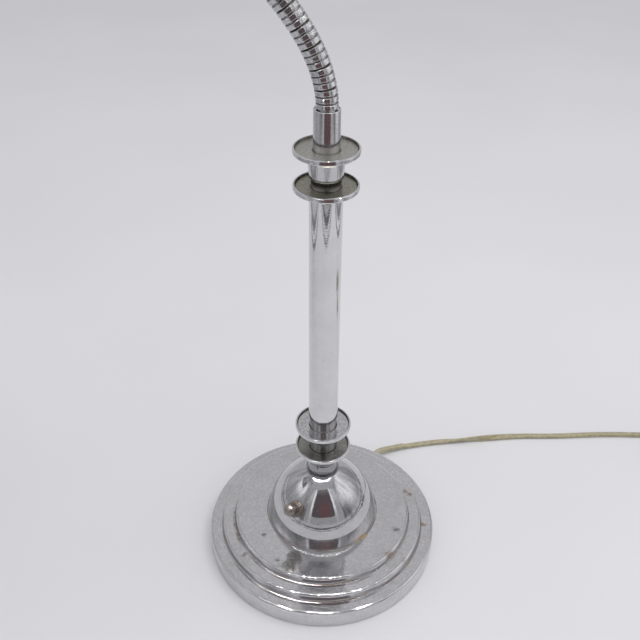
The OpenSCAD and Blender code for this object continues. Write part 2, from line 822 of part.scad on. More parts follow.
module cord() {
    color("darkkhaki") {
        tube_along(concat([cord_start(0), cord_start(1)], cord_run), cord_r);
        tube_along(cord_tail, cord_r);
    }
}

module cord_coil() {
    color("darkkhaki") translate([coil_at[0], coil_at[1], 0]) rotate_extrude()
        translate([coil_mid_r - coil_w / 2, 0]) {
            translate([coil_round, 0]) square([coil_w - 2 * coil_round, coil_h]);
            translate([0, coil_round]) square([coil_w, coil_h - 2 * coil_round]);
            for (x = [coil_round, coil_w - coil_round], y = [coil_round, coil_h - coil_round])
                translate([x, y]) circle(coil_round, $fn = 32);
        }
}

module plug_outline() {
    half = plug_w / 2;
    back = plug_len - plug_nose;
    translate([-half, plug_shoulder]) square([plug_w, back - plug_shoulder]);
    translate([plug_shoulder - half, 0]) square([plug_w - 2 * plug_shoulder, back]);
    for (s = [-1, 1]) translate([s * (half - plug_shoulder), plug_shoulder]) circle(plug_shoulder);
    polygon([[-half, back - 1], [half, back - 1], [plug_nose_w / 2, plug_len], [-plug_nose_w / 2, plug_len]]);
}

module plug_body() {
    color("saddlebrown") difference() {
        translate([tail_x, plug_y - plug_len, plug_z - plug_t / 2]) linear_extrude(plug_t) plug_outline();
        translate([tail_x, plug_y + 1, plug_z]) rotate([90, 0, 0]) cylinder(r = core_gap_r, h = 3, $fn = 24);
    }
}

module plug_blades() {
    color("goldenrod") for (s = [-1, 1])
        translate([tail_x + s * blade_gap / 2 - blade_t / 2, plug_y - plug_len - blade_len, plug_z - blade_w / 2])
            cube([blade_t, blade_len, blade_w]);
}

base_felt();
base_weight();
base_shell();
dome();
dome_seat();
flared_collar();
saucer(saucer_1_z);  // saucer_1
spacer_1();
saucer(saucer_2_z);  // saucer_2
tube_collar();
column_tube();
saucer(saucer_3_z, spigot_h);  // saucer_3
spacer_2();
saucer(saucer_4_z);  // saucer_4
ferrule();
stem_pipe();
stem_nuts();
stem_washer();
lead_wire();
switch_body();
switch_rings();
switch_button();
cord_bushing();
cord();
cord_coil();
plug_body();
plug_blades();
neck_root();
for (i = [1 : SECTIONS]) neck_section(i - 1);
neck_tip();
socket_cap();
shade();
shade_ring();
socket_body();
screw_shell();
bulb_cap();
bulb_glass();
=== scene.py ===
"""Gooseneck desk lamp: camera, cord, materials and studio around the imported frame. Metres, +Z up."""

import math

import bpy
from mathutils import Matrix, Vector


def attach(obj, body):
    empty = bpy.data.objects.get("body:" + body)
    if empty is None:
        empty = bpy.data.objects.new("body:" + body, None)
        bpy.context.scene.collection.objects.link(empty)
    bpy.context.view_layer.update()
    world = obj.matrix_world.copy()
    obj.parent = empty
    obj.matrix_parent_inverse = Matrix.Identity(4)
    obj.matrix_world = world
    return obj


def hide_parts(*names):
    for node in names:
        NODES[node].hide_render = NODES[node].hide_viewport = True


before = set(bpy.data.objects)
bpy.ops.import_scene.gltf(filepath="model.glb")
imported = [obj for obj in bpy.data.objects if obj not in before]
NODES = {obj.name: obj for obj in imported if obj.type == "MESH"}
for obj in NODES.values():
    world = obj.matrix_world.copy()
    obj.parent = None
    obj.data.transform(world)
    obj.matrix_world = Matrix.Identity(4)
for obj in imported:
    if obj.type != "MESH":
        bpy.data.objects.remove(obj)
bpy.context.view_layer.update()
MM = 0.001
X, Y, Z = (1, 0, 0), (0, 1, 0), (0, 0, 1)


def add(name, data):
    """A new object in the scene, made of the data."""
    obj = bpy.data.objects.new(name, data)
    bpy.context.scene.collection.objects.link(obj)
    return obj


# ---- Camera: fitted to the photo's circles. Angles in radians ------------------------

CAMERA_AT = Vector((0, -0.42342, 0.50780))
PITCH, YAW, ROLL = 0.62522, -0.0066754, 0.0091771
FOCAL_PX, PICTURE_PX, SENSOR_MM = 820.1, 640, 36
CLIP_NEAR, CLIP_FAR = 0.01, 50


def make_camera():
    """Looks towards +Y, turned by YAW, down by PITCH and rolled by ROLL."""
    forward = Vector((math.sin(YAW) * math.cos(PITCH),
                      math.cos(YAW) * math.cos(PITCH),
                      -math.sin(PITCH)))
    level = Vector((math.cos(YAW), -math.sin(YAW), 0))
    above = level.cross(forward)
    across = math.cos(ROLL) * level + math.sin(ROLL) * above
    up = math.cos(ROLL) * above - math.sin(ROLL) * level
    data = bpy.data.cameras.new("photo_camera")
    data.sensor_width = SENSOR_MM
    data.lens = SENSOR_MM * FOCAL_PX / PICTURE_PX
    data.clip_start, data.clip_end = CLIP_NEAR, CLIP_FAR
    cam = add("photo_camera", data)
    turned = Matrix((across, up, -forward)).transposed().to_4x4()
    cam.matrix_world = Matrix.Translation(CAMERA_AT) @ turned
    bpy.context.scene.camera = cam


make_camera()

# ---- Cord: sizes and places in millimetres -------------------------------------------

CORD_W, CORD_T = 5.2, 2.7
# How far the web between the two cores reaches round each of them
WEB_ANGLE = math.radians(52)
POINTS_PER_CORE = 9
# It leaves the base through a bushing that ends EXIT_R from the column's axis; its first points lie
# EXIT_STEPS from that end
BASE_R, CORD_AZ, CORD_Z = 85, math.radians(60), 5.4
EXIT_R = BASE_R + 4
EXIT_STEPS = (-12, -6, 0, 1)
# Then it sinks to the floor and runs along it, through the points of the CAD's round cord
REST_Z = 2.7
RUN = [(46.5, 80.2, 5.3), (49.5, 83, 4.9), (53.5, 85.2, 4.2), (59, 87.5, 3.4),
       (65, 89.8, 2.9), (72, 92, REST_Z), (83, 94.6, REST_Z), (95, 97, REST_Z),
       (108, 98.8, REST_Z), (122, 100, REST_Z), (134, 101.2, REST_Z), (145, 102.8, REST_Z),
       (157, 104.8, REST_Z), (168, 106.2, REST_Z), (180, 107, REST_Z), (192, 107.2, REST_Z),
       (205, 107.6, REST_Z), (218, 108.4, REST_Z), (231, 109.4, REST_Z),
       (244, 110.2, REST_Z), (257, 110.6, REST_Z), (270, 110.6, REST_Z),
       (283, 110.6, REST_Z), (296, 111.6, REST_Z), (306, 113.2, REST_Z)]
# The coil outside the view; CLIMB is the share of a layer in which the cord climbs to the next one,
# and the run takes the place of the coil's first few points
COIL_AT = (326, 82)
COIL_OUT, COIL_IN = 33.3, 22.9
COIL_TURNS, TURNS_PER_LAYER, POINTS_PER_TURN = 8.25, 2, 48
LAYER_H, CLIMB = 2.9, 0.12
COIL_SKIP = 3
# The end that comes down from the coil into the plug
PLUG_Y, PLUG_Z = 40, 7
TAIL_X = 358
TAIL = [(TAIL_X, 74, PLUG_Z + 4), (TAIL_X + 0.3, 65, PLUG_Z + 1.8), (TAIL_X, 55, PLUG_Z + 0.2),
        (TAIL_X, 47, PLUG_Z), (TAIL_X, PLUG_Y - 1, PLUG_Z)]
# One half turn about itself, from TWIST_AT along the cord
TWIST_AT, TWIST_LEN = 62, 90
# Points up to ON_FLOOR over REST_Z count as on the floor; the flat cord then lies FLOOR_GAP over it
LINE_STEP, ON_FLOOR, FLOOR_GAP = 2.2, 0.01, 0.05


def smooth_step(t):
    """From 0 to 1 as t does, with a level start and end."""
    t = min(max(t, 0), 1)
    return t * t * (3 - 2 * t)


def coil_points():
    """Flat-lying turns, spiralling in and out, one layer on the other."""
    points = []
    steps = int(COIL_TURNS * POINTS_PER_TURN)
    for k in range(steps + 1):
        turned = COIL_TURNS * k / steps
        layer, part = divmod(turned / TURNS_PER_LAYER, 1)
        share = part if layer % 2 == 0 else 1 - part
        radius = COIL_OUT + (COIL_IN - COIL_OUT) * share
        climbed = smooth_step((part - (1 - CLIMB)) / CLIMB)
        height = CORD_T / 2 + LAYER_H * (layer + climbed)
        angle = math.pi / 2 - 2 * math.pi * turned
        points.append((COIL_AT[0] + radius * math.cos(angle),
                       COIL_AT[1] + radius * math.sin(angle), height))
    return points


def through(points, step):
    """A smooth line through the points, with one point about every step millimetres."""
    p = [Vector(q) for q in points]
    p = [2 * p[0] - p[1]] + p + [2 * p[-1] - p[-2]]
    line = []
    for a, b, c, d in zip(p, p[1:], p[2:], p[3:]):
        n = max(1, round((c - b).length / step))
        for k in range(n):
            t = k / n
            line.append(0.5 * (2 * b + (c - a) * t + (2 * a - 5 * b + 4 * c - d) * t**2
                               + (3 * b - a - 3 * c + d) * t**3))
    line.append(p[-2])
    return line


def cord_section():
    """Outline of the flat two-core cord: two round cores side by side with a thin web between."""
    r, offset = CORD_T / 2, (CORD_W - CORD_T) / 2
    outline = []
    for side in (1, -1):
        for k in range(POINTS_PER_CORE):
            a = -math.pi + WEB_ANGLE + (2 * math.pi - 2 * WEB_ANGLE) * k / (POINTS_PER_CORE - 1)
            outline.append((side * (offset + r * math.cos(a)), side * r * math.sin(a)))
    return outline


def cord_mesh(line):
    """The section swept along the line. Points of the line on the floor rise as the twist needs it."""
    along = [0.0]
    for a, b in zip(line, line[1:]):
        along.append(along[-1] + (b - a).length)
    section = cord_section()
    size = len(section)
    verts, faces = [], []
    for i, p in enumerate(line):
        ahead = (line[min(i + 1, len(line) - 1)] - line[max(i - 1, 0)]).normalized()
        side = ahead.cross(Vector(Z)).normalized()
        top = side.cross(ahead)
        twist = math.pi * smooth_step((along[i] - TWIST_AT) / TWIST_LEN)
        if p.z < REST_Z + ON_FLOOR:
            high = (CORD_W - CORD_T) / 2 * abs(math.sin(twist)) + CORD_T / 2
            p = Vector((p.x, p.y, high + FLOOR_GAP))
            line[i] = p
        c, s = math.cos(twist), math.sin(twist)
        for x, y in section:
            verts.append((p + side * (x * c - y * s) + top * (x * s + y * c)) * MM)
        if i:
            for k in range(size):
                m = (k + 1) % size
                faces.append(((i - 1) * size + k, (i - 1) * size + m, i * size + m, i * size + k))
    faces.append(tuple(range(size))[::-1])
    faces.append(tuple(range(len(verts) - size, len(verts))))
    mesh = bpy.data.meshes.new("zip_cord")
    mesh.from_pydata(verts, [], faces)
    mesh.polygons.foreach_set("use_smooth", [True] * len(mesh.polygons))
    return mesh


def make_cord():
    """Out of the base, along the floor, round the coil and into the plug."""
    start = [((EXIT_R + d) * math.cos(CORD_AZ), (EXIT_R + d) * math.sin(CORD_AZ), CORD_Z)
             for d in EXIT_STEPS]
    line = through(start + RUN + coil_points()[COIL_SKIP:] + TAIL, LINE_STEP)
    piece = add("zip_cord", cord_mesh(line))
    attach(piece, "base")
    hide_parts("cord", "cord_coil")
    return piece


cord = make_cord()

# ---- Node trees ------------------------------------------------------------------------


class Tree:
    """The node tree of a material or of the world, put together node by node."""

    def __init__(self, owner):
        owner.use_nodes = True
        self.nodes, self.links = owner.node_tree.nodes, owner.node_tree.links
        self.nodes.clear()

    def node(self, kind, inputs=(), output=0, **settings):
        """A new node with its settings and inputs; gives one of its outputs."""
        made = self.nodes.new("ShaderNode" + kind)
        for key, value in settings.items():
            setattr(made, key, value)
        for key, value in dict(inputs).items():
            self.put(made.inputs[key], value)
        return made.outputs[output]

    def put(self, socket, value):
        """Links the value to the socket if it is a node's output, and else sets it there."""
        if isinstance(value, bpy.types.NodeSocket):
            self.links.new(value, socket)
        else:
            socket.default_value = value

    def math(self, operation, *values):
        return self.node("Math", enumerate(values), operation=operation)

    def end(self, kind, surface):
        """Ends the tree in the output of a Material or of the World."""
        self.put(self.nodes.new("ShaderNodeOutput" + kind).inputs["Surface"], surface)


class Shader(Tree):
    """One procedural material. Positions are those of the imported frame, in metres."""

    def __init__(self, name):
        self.material = bpy.data.materials.new(name)
        super().__init__(self.material)
        self.at = self.node("TexCoord", output="Object")

    def vector(self, operation, a, b, output="Vector"):
        return self.node("VectorMath", {0: a, 1: b}, output, operation=operation)

    def scaled(self, colour, by):
        return self.node("VectorMath", {0: colour, "Scale": by}, operation="SCALE")

    def dot(self, a, b):
        return self.vector("DOT_PRODUCT", a, b, "Value")

    def along(self, axis):
        """The position along X, Y or Z."""
        return self.dot(self.at, axis)

    def distance(self, place, at=None):
        return self.vector("DISTANCE", at or self.at, place, "Value")

    def from_axis(self):
        """Distance from the column's axis."""
        return self.vector("LENGTH", self.vector("MULTIPLY", self.at, (1, 1, 0)), (0, 0, 0), "Value")

    def noise(self, scale, detail=2.0, rough=0.5, at=None, distortion=0.0):
        return self.node("TexNoise", {"Vector": at or self.at, "Scale": scale, "Detail": detail,
                                      "Roughness": rough, "Distortion": distortion}, "Fac")

    def ramp(self, value, low, high, start=0.0, end=1.0):
        """Goes smoothly from start to end while the value goes from low to high."""
        return self.node("MapRange", {"Value": value, "From Min": low, "From Max": high,
                                      "To Min": start, "To Max": end}, interpolation_type="SMOOTHSTEP")

    def band(self, value, low, high, soft):
        """1 between low and high, 0 outside."""
        return self.math("MULTIPLY", self.ramp(value, low - soft, low + soft),
                         self.ramp(value, high - soft, high + soft, 1.0, 0.0))

    def mix(self, share, a, b):
        """Colour b by that share, else a. The mix node's colours are its inputs 6 and 7."""
        made = self.nodes.new("ShaderNodeMix")
        made.data_type = "RGBA"
        self.put(made.inputs[0], share)
        for key, colour in ((6, a), (7, b)):
            self.put(made.inputs[key], (*colour, 1) if isinstance(colour, tuple) else colour)
        return made.outputs[2]

    def most(self, values):
        """The highest of the values."""
        top = values[0]
        for value in values[1:]:
            top = self.math("MAXIMUM", top, value)
        return top

    def near(self, point, radius):
        """1 near a point, falling to 0 at about the radius, with a ragged edge."""
        ragged = self.math("MULTIPLY", self.noise(1.1 / radius, detail=5, rough=0.7), radius * 2.4)
        away = self.math("ADD", self.distance(point), ragged)
        return self.ramp(away, radius * 1.25, radius * 2, 1.0, 0.0)

    def spots(self, scale, size, share):
        """Round pits, in that share of the cells."""
        cell = {"Vector": self.at, "Scale": scale}
        away = self.node("TexVoronoi", cell, "Distance")
        chance = self.node("SeparateColor", {0: self.node("TexVoronoi", cell, "Color")})
        return self.math("MULTIPLY", self.ramp(away, size * 0.6, size, 1.0, 0.0),
                         self.math("GREATER_THAN", chance, 1 - share))

    def finish(self, bumps=(), **inputs):
        """Ends the material as a Principled surface; each bump is a height and its size in metres."""
        made = self.nodes.new("ShaderNodeBsdfPrincipled")
        normal = None
        for height, distance in bumps:
            more = {"Normal": normal} if normal else {}
            normal = self.node("Bump", {"Height": height, "Distance": distance, "Strength": 1.0, **more})
        if normal:
            inputs["Normal"] = normal
        for key, value in inputs.items():
            value = (*value, 1) if isinstance(value, tuple) else value
            self.put(made.inputs[key.replace("_", " ")], value)
        self.end("Material", made.outputs[0])
        return self.material

    def glow(self, colour):
        """Ends the material as plain light of that colour."""
        self.end("Material", self.node("Emission", {"Color": colour, "Strength": 1.0}))
        self.material.cycles.emission_sampling = "NONE"
        return self.material


def grey(value):
    """A grey, slightly towards blue."""
    return (value, value, value * 1.03)


# ---- Materials: places and sizes on the lamp in millimetres ----------------------------


def radius_of(node):
    """The outer radius of a round CAD node."""
    return max(v.co.x for v in NODES[node].data.vertices) / MM


def foot_of(node):
    return min(v.co.z for v in NODES[node].data.vertices) / MM


def top_of(node):
    return max(v.co.z for v in NODES[node].data.vertices) / MM


PALE_FILM, DARK_FILM = (0.42, 0.41, 0.415), (0.20, 0.195, 0.17)
BROWN_FILM, OLIVE_FILM = (0.24, 0.23, 0.18), (0.295, 0.29, 0.255)
TARNISH, PIT_DARK = (0.38, 0.35, 0.31), (0.10, 0.07, 0.05)
# Colours of painted shade in corners, grooves and round the feet of parts; the step one also colours the
# brown streak, a stain
PAINTED_SHADE, STEP_SHADE_AND_STAIN, RING_SHADE = (0.07, 0.055, 0.04), (0.15, 0.105, 0.075), (0.04, 0.038, 0.034)
RUST_BROWN, RUST_GOLD, SPECK_DARK = (0.19, 0.11, 0.06), (0.34, 0.22, 0.10), (0.07, 0.062, 0.058)

# Radii of the feet of the dome and of the two risers, and heights of the base's three level faces
DOME_FOOT_R, RISER_R, LOW_RISER_R = radius_of("dome"), 65.4, 75.2
TOP_Z, TREAD_Z, LOW_TREAD_Z = top_of("base_shell"), 20.7, 14.4
# Marks on the base and the dome, each a point and a radius
BASE_RUST = [((49.8, -43.5, TOP_Z), 7.0), ((65.3, 22.6, TREAD_Z), 4.2), ((68.5, 19.6, TREAD_Z), 4.0),
             ((76.7, -4.9, LOW_TREAD_Z), 4.2), ((60.5, -45, TREAD_Z), 4.2)]
BASE_GOLD = [((29.6, -29, TOP_Z), 3.2), ((31.8, -26.6, TOP_Z), 2.8), ((27, -31.4, TOP_Z), 2.4)]
BASE_SPECKS = [((55.1, -20.1, TOP_Z), 4.2), ((-56, -41, TREAD_Z), 3.2), ((-42.4, -27.4, TOP_Z), 2.8),
               ((-31.6, -49.6, TOP_Z), 3.0), ((-24.3, -53.8, TOP_Z), 6.5), ((-21.6, -49.4, TOP_Z), 5.5),
               ((-23, -45.5, TOP_Z), 3.5)]
DOME_GOLD = [((28.5, -29.4, 27.5), 3.6)]
DOME_SPECKS = [((8.5, -39.7, 27.6), 1.6), ((-2.5, -35.2, 47), 1.6), ((2.5, -33.6, 50.5), 1.4)]
# A brown streak at the foot of the upper riser: its middle, and where it begins and ends to fade
STREAK_AT, STREAK_FADE = (-66.5, -15, TREAD_Z), (10, 24)
# Radii of the saucers' floors, inside their rims, and of what stands in them
RIM_T = 1.2
SAUCER_FLOOR_R = radius_of("saucer_1") - RIM_T
COLLAR_R, SPACER_FOOT_R, FERRULE_R = radius_of("tube_collar"), 8.8, radius_of("ferrule")
# Rings of painted shade, and the brown streak's stain: how far inside and outside a radius they reach,
# and how soft their edges are
FOOT_LINE, STREAK_LINE = (0.3, 1.1, 0.3), (0.3, 2.4, 0.6)
RIM_LINE, RECESS_LINE = (-0.6, 0.15, 0.3), (-0.5, 0.5, 0.2)
# Rings of painted shade: from and to which height over a piece's foot, and the share of shade at each
SPACER_RING, FERRULE_RING = (-0.9, 6.2, 0.35, 1.3), (-2.7, 4.1, 0.65, 0.1)
RING_SOFT = 0.3
# How much rougher than the plating pits, marks and painted shade are
MARKS_AND_SHADE_ROUGH = 0.4
# Painted shade darkens where the neck's ribs face each other within this distance
GROOVE_REACH = 1.6


def chrome(name, tone=0.60, rough=0.06, haze=0.05, pits=0.12, stain=0.3, grain=0.05, coats=(), marks=()):
    """Aged plating: cloudy polish, fine grain, pits and brownish tarnish.

    Coats are films, stains and painted shade: a function that gives their share from the shader, a
    colour, and how much rougher they are. Marks are pairs of a colour and its places, each place a point
    and a radius.
    """
    s = Shader(name)
    cloud = s.noise(scale=55, detail=4, rough=0.6)
    fine = s.noise(scale=2200, detail=3, rough=0.7)
    patches = s.noise(scale=28, detail=5, rough=0.65, distortion=0.8)
    tarnish = s.math("MULTIPLY", s.ramp(patches, 0.52, 0.75), stain)
    level = s.math("ADD", s.ramp(cloud, 0.3, 0.7, -0.03, 0.03),
                   s.ramp(fine, 0.3, 0.7, tone - grain, tone + grain))
    cool = s.math("MULTIPLY", level, 1.02)
    colour = s.mix(tarnish, s.node("CombineColor", {0: level, 1: level, 2: cool}), TARNISH)
    roughness = s.math("ADD", s.ramp(cloud, 0.3, 0.7, rough, rough + haze),
                       s.math("MULTIPLY", tarnish, 0.12))
    pit = s.spots(scale=430, size=0.11, share=pits)
    layers = [(pit, PIT_DARK, MARKS_AND_SHADE_ROUGH)]
    for share_of, coat_colour, more_rough in coats:
        layers.append((share_of(s), coat_colour, more_rough))
    worn = s.ramp(s.noise(scale=1500, detail=3, rough=0.7), 0.35, 0.6, 0.25, 1.0)
    for mark_colour, places in marks:
        spots = [s.near([c * MM for c in point], radius * MM) for point, radius in places]
        layers.append((s.math("MULTIPLY", s.most(spots), worn), mark_colour, MARKS_AND_SHADE_ROUGH))
    for share, layer_colour, more_rough in layers:
        colour = s.mix(share, colour, layer_colour)
        roughness = s.math("ADD", roughness, s.math("MULTIPLY", share, more_rough))
    bumps = [(s.noise(scale=900), 0.000012), (fine, 0.000003), (s.math("MULTIPLY", pit, -1.0), 0.00008)]
    return s.finish(bumps, Base_Color=colour, Metallic=0.9, Roughness=roughness)


def level_faces(s):
    return s.ramp(s.dot(s.node("NewGeometry", output="Normal"), Z), 0.9, 0.99)


def treads(s):
    """The level faces of the base, slightly dulled in patches."""
    patches = s.ramp(s.noise(scale=450, detail=5, rough=0.75), 0.35, 0.65, 0.15, 0.55)
    return s.math("MULTIPLY", level_faces(s), patches)


def ring(s, radius, inner, outer, soft):
    """Where the distance from the column's axis is between radius + inner and radius + outer."""
    return s.band(s.from_axis(), (radius + inner) * MM, (radius + outer) * MM, soft * MM)


def corner_shade_and_streak(s):
    """Painted shade in the corner at the foot of the dome and of each riser, kept in worn patches, and
    the brown streak, a stain.
    """
    lines = [ring(s, r, *FOOT_LINE) for r in (DOME_FOOT_R, RISER_R, LOW_RISER_R)]
    kept = s.ramp(s.noise(scale=45, detail=4, rough=0.6), 0.35, 0.6, 0.25, 0.9)
    near_streak = s.ramp(s.distance([c * MM for c in STREAK_AT]),
                         STREAK_FADE[0] * MM, STREAK_FADE[1] * MM, 1.0, 0.0)
    grain = s.ramp(s.noise(scale=420, detail=5, rough=0.75), 0.4, 0.6, 0.0, 0.8)
    streak = s.math("MULTIPLY", s.math("MULTIPLY", ring(s, RISER_R, *STREAK_LINE), near_streak), grain)
    return s.math("MAXIMUM", s.math("MULTIPLY", s.most(lines), kept), streak)


def saucer_floor(least):
    """The dulled floor of a saucer, its level face inside the rim, by at least that share."""
    def share(s):
        inside = s.math("LESS_THAN", s.from_axis(), SAUCER_FLOOR_R * MM)
        patches = s.ramp(s.noise(scale=650, detail=4, rough=0.75), 0.35, 0.65, least, 1.0)
        return s.math("MULTIPLY", s.math("MULTIPLY", level_faces(s), inside), patches)
    return share


def saucer_corner_shade(foot_r):
    """Painted shade inside the rim and round the foot, of that radius, of what stands in the recess."""
    def share(s):
        lines = s.most([ring(s, SAUCER_FLOOR_R, *RIM_LINE), ring(s, foot_r, *RECESS_LINE)])
        return s.math("MULTIPLY", lines, s.ramp(s.noise(scale=300, detail=3), 0.3, 0.6, 0.6, 1.0))
    return share


def foot_shade_ring(node, low, high, first, last):
    """A ring of painted shade between two heights over a node's foot, with its share at the lower and
    upper one.
    """
    low, high = (foot_of(node) + low) * MM, (foot_of(node) + high) * MM

    def share(s):
        z = s.along(Z)
        return s.math("MULTIPLY", s.band(z, low, high, RING_SOFT * MM), s.ramp(z, low, high, first, last))
    return share


def groove_shade(s):
    """Painted shade between the neck's ribs, from how closely they face each other."""
    openness = s.node("AmbientOcclusion", {"Distance": GROOVE_REACH * MM}, "AO", samples=6)
    return s.ramp(openness, 0.4, 0.85, 0.95, 0.0)


def plain(name, colour, rough, scale=400.0, vary=0.25, bump=0.00003, metallic=0.0, **more):
    """A surface of one colour with fine unevenness."""
    s = Shader(name)
    uneven = s.noise(scale, detail=4, rough=0.6)
    dark = tuple(c * (1 - vary) for c in colour)
    light = tuple(min(1, c * (1 + vary)) for c in colour)
    return s.finish([(uneven, bump)], Base_Color=s.mix(s.ramp(uneven, 0.3, 0.7), dark, light),
                    Roughness=s.ramp(uneven, 0.3, 0.7, rough * 0.85, rough * 1.15),
                    Metallic=metallic, **more)


def dress(material, *nodes):
    """Gives the material to those CAD nodes."""
    for node in nodes:
        slots = NODES[node].data.materials
        slots.clear()
        slots.append(material)


def dress_saucer(number, foot_r, least, film, film_rough, tone=0.60):
    """Plating with a film on the saucer's floor and painted shade inside the rim and round what stands
    there, of radius foot_r.
    """
    coats = [(saucer_floor(least), film, film_rough), (saucer_corner_shade(foot_r), PAINTED_SHADE, MARKS_AND_SHADE_ROUGH)]
    dress(chrome(f"saucer_{number}_plating", tone=tone, coats=coats), f"saucer_{number}")


# Plating
# The base's corners at the dome's and risers' feet get painted shade; the brown streak is a stain
dress(chrome("worn_plating", tone=0.635, rough=0.035, haze=0.03, pits=0.3, stain=0.35, grain=0.18,
             coats=((treads, PALE_FILM, 0.12), (corner_shade_and_streak, STEP_SHADE_AND_STAIN, MARKS_AND_SHADE_ROUGH)),
             marks=((RUST_BROWN, BASE_RUST), (RUST_GOLD, BASE_GOLD), (SPECK_DARK, BASE_SPECKS))),
      "base_shell")
dress(chrome("dome_plating", tone=0.55, rough=0.025, haze=0.03, pits=0.3, grain=0.12,
             marks=((RUST_GOLD, DOME_GOLD), (SPECK_DARK, DOME_SPECKS))),
      "dome")
dress(chrome("dark_plating", tone=0.30, rough=0.18, pits=0.3), "dome_seat")
dress(chrome("collar_plating", tone=0.34, pits=0.1, stain=0.1), "flared_collar")
dress(chrome("tarnished_plating", tone=0.46, pits=0.2, stain=0.5), "tube_collar", "spacer_1")
dress(chrome("tube_plating", tone=0.69, rough=0.025, haze=0.02, stain=0.1), "column_tube")
dress_saucer(1, COLLAR_R, least=0.7, film=DARK_FILM, film_rough=0.16)
dress_saucer(2, COLLAR_R, least=0.1, film=PALE_FILM, film_rough=0.05, tone=0.62)
dress_saucer(3, SPACER_FOOT_R, least=0.75, film=BROWN_FILM, film_rough=0.34)
dress_saucer(4, FERRULE_R, least=0.7, film=OLIVE_FILM, film_rough=0.32)
# Painted shadow round the spacer's narrow foot, in its undercut
dress(chrome("spacer_plating", grain=0.1,
             coats=[(foot_shade_ring("spacer_2", *SPACER_RING), RING_SHADE, MARKS_AND_SHADE_ROUGH)]),
      "spacer_2")
# Painted shade round the ferrule's foot, darkest at the bottom
dress(chrome("ferrule_plating", grain=0.09,
             coats=[(foot_shade_ring("ferrule", *FERRULE_RING), PAINTED_SHADE, MARKS_AND_SHADE_ROUGH)]),
      "ferrule")
dress(chrome("bright_plating", tone=0.58), "neck_root", "neck_tip", "socket_cap")
# The neck's grooves get painted shade between the ribs
dress(chrome("neck_plating", tone=0.54, rough=0.08, grain=0.2, coats=[(groove_shade, PAINTED_SHADE, MARKS_AND_SHADE_ROUGH)]),
      *[node for node in NODES if node.startswith("neck_section")])
dress(chrome("shade_plating", stain=0.2), "shade")

# Everything else
dress(plain("cast_iron", (0.12, 0.12, 0.125), rough=0.7, scale=900, vary=0.3, bump=0.0002, metallic=0.8),
      "base_weight")
dress(plain("green_felt", (0.05, 0.09, 0.045), rough=0.95, scale=2500, vary=0.4, bump=0.0003),
      "base_felt")
dress(plain("steel", (0.5, 0.5, 0.5), rough=0.35, metallic=1.0), "stem_pipe", "stem_nuts", "stem_washer")
dress(plain("brass", (0.62, 0.44, 0.18), rough=0.28, metallic=1.0),
      "screw_shell", "bulb_cap", "plug_blades")
dress(plain("worn_nickel", (0.31, 0.28, 0.255), rough=0.36, scale=1200, vary=0.4, metallic=0.9),
      "switch_body", "switch_rings", "switch_button")
dress(plain("black_fibre", (0.03, 0.03, 0.03), rough=0.6), "cord_bushing")
dress(plain("bakelite", (0.055, 0.028, 0.018), rough=0.28), "plug_body", "shade_ring", "socket_body")
dress(plain("opal_glass", (0.9, 0.89, 0.86), rough=0.25, Transmission_Weight=0.6, IOR=1.45), "bulb_glass")
cord_cover = plain("cord_cover", (0.36, 0.315, 0.175), rough=0.35, scale=300, vary=0.2,
                   Transmission_Weight=0.25)
cord.data.materials.append(cord_cover)
dress(cord_cover, "cord", "cord_coil", "lead_wire")

# ---- Studio ------------------------------------------------------------------------------

FLOOR, FLOOR_HALF = (0.722, 0.72, 0.738), 6
BACKDROP, ROOM_LIGHT = (0.60, 0.597, 0.62, 1), (0.72, 0.72, 0.74, 1)
TOP_LAMP_AT, TOP_LAMP_SIZE, TOP_LAMP_POWER = (0.5, -0.1, 1.6), 1.2, 9.0
# The light tent round the lamp, seen only in its gloss: left, right, front, back and top
TENT_TURN = math.radians(5)
LEFT, RIGHT, FRONT, BACK, TOP = -0.44, 0.47, -0.455, 0.52, 0.92
# Its lit patches of side cloth, each a place and a radius
LEFT_PATCH, RIGHT_PATCH = ((LEFT, 0.0, 0.46), 0.24), ((RIGHT, -0.05, 0.45), 0.42)
# Heights in its cloth's lowest stretch: where the floor's light fades, the seam, a bright line and a fold
LIT_FADE, SEAM, BRIGHT_LINE, FOLD = (0.07, 0.10), (-0.01, 0.008), (0.011, 0.017), (0.024, 0.042)
# The dark opening in its front, as a board that stands nearer, and the bright hems beside it
BOARD_Y, BOARD_X, BOARD_Z = -0.30, (-0.158, 0.142), (0.135, 0.60)
BOARD_CORNER, CORNER_STEPS = 0.035, 6
HEMS_X = ((-0.30, -0.25), (0.22, 0.27))
# The board's dim red middle, which is round once places are scaled by RED_SCALE
RED_SCALE, RED_AT, RED_FADE = (1, 1, 0.65), (0.014, BOARD_Y, 0.14), (0.03, 0.085)
# The bowed row of small bright lamps under its roof, and the strip of cloth that they light
ROW_Y, ROW_BOW, ROW_Z, ROW_HALF = -0.235, 1.0, 0.90, 0.44
STRIP_HALF, STRIP_SOFT, STRIP_LIGHT = 0.010, 0.006, 1.0
LAMP_STEP, LAMP_R, LAMP_POWER = 0.031, 0.004, 1.5


def panel(name, corners, material):
    """A flat piece of the studio."""
    mesh = bpy.data.meshes.new(name)
    mesh.from_pydata(corners, [], [range(len(corners))])
    mesh.materials.append(material)
    obj = add(name, mesh)
    return obj


